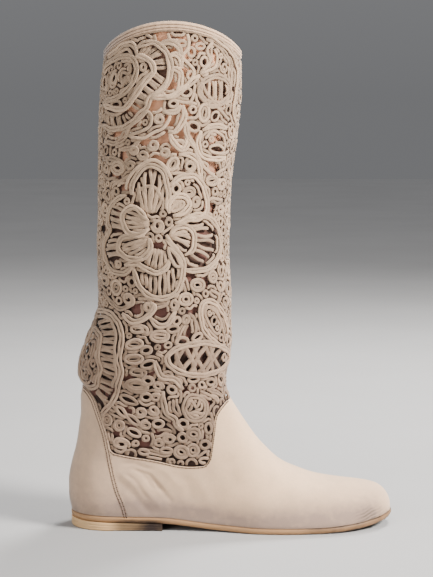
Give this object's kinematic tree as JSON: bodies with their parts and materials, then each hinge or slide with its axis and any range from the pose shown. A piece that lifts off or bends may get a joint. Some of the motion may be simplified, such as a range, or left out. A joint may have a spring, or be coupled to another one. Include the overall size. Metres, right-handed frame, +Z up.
{
  "type": "openwork lace boot",
  "caption": "Tall flat pull-on right boot: nubuck foot, openwork shaft of sewn leather cord dipping into both sides, bound arched topline, thin leather sole with low heel.",
  "frame": {"origin": "on the floor under the middle of the boot's length and width", "axes": "+X to the toe, +Y to the inner side of the foot, +Z up"},
  "size_m": [0.2558, 0.105, 0.391],
  "materials": {
    "nubuck": "matt nubuck",
    "lace_cord": "rolled leather cord",
    "binding": "folded leather binding",
    "sock": "smooth leather sock",
    "sole_leather": "waxed edge",
    "heel_leather": "waxed edge, darker under the arch"
  },
  "bodies": {
    "root": {"upper": "nubuck", "shaft": "lace_cord", "collar_band": "binding", "insole": "sock", "outsole": "sole_leather", "heel_lift": "heel_leather"}
  },
  "joints": []
}
